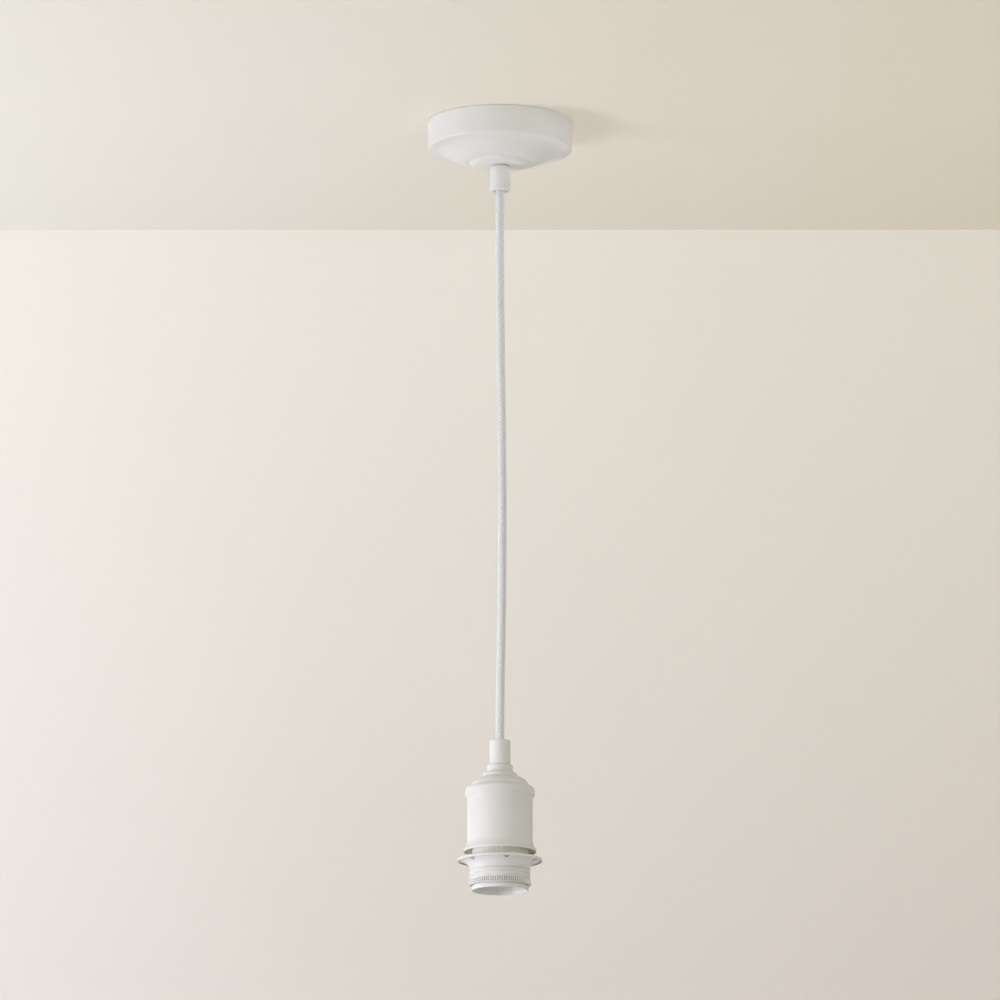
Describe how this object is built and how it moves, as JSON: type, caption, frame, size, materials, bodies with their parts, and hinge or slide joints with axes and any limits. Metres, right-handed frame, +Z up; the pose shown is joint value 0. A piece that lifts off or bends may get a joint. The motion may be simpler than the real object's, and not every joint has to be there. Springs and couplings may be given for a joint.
{
  "type": "pendant cord set",
  "caption": "White ceiling pendant: a round ceiling rose and a braided cord that carries a screw lampholder with a metal cover and a flanged shade ring.",
  "frame": {"origin": "on the cord's axis, on the ceiling face that the rose's bracket is screwed to; everything hangs below it", "axes": "+Z up, into the ceiling; +X along the bracket's strap, to the right in the picture; -Y towards the picture's viewer"},
  "size_m": [0.1, 0.1, 0.5358],
  "materials": {
    "white_paint": "satin powder coat",
    "white_plastic": "satin",
    "block_plastic": "satin, slightly translucent",
    "ceramic": "glazed",
    "zinc_steel": "zinc plated",
    "brass": "plain",
    "braid": "braided textile with a fine grey fleck",
    "brown_core": "smooth",
    "blue_core": "smooth",
    "earth_core": "smooth, green and yellow"
  },
  "bodies": {
    "pendant": {"ceiling_rose_cover": "white_paint", "ceiling_bracket": "zinc_steel", "rose_nipple": "brass", "bracket_lock_washer": "zinc_steel", "bracket_upper_nut": "zinc_steel", "bracket_lower_nut": "zinc_steel", "rose_cord_grip": "white_plastic", "rose_grip_screw": "white_plastic", "bracket_earth_screw": "brass", "terminal_block_body": "block_plastic", "terminal_sleeve_1": "brass", "terminal_sleeve_2": "brass", "terminal_screw_1": "zinc_steel", "terminal_screw_2": "zinc_steel", "terminal_screw_3": "zinc_steel", "terminal_screw_4": "zinc_steel", "rose_core_live": "brown_core", "rose_core_neutral": "blue_core", "rose_core_earth": "earth_core", "pendant_cord": "braid", "holder_cord_grip": "white_plastic", "holder_grip_screw": "white_plastic", "holder_nipple": "brass", "lampholder_cover": "white_paint", "holder_earth_tag": "brass", "lampholder_cap": "white_plastic", "contact_carrier": "ceramic", "holder_terminal_live": "brass", "holder_terminal_screw_live": "zinc_steel", "holder_terminal_neutral": "brass", "holder_terminal_screw_neutral": "zinc_steel", "holder_core_live": "brown_core", "holder_core_neutral": "blue_core", "holder_core_earth": "earth_core", "screw_shell": "brass", "centre_contact": "brass", "lampholder_skirt": "white_plastic"},
    "shade_ring": {"shade_ring": "white_plastic"}
  },
  "joints": [
    {"name": "shade_ring_travel", "type": "slide", "parent": "pendant", "child": "shade_ring", "axis": [0, 0, 1], "range_m": [-0.02, 0.0043]}
  ]
}
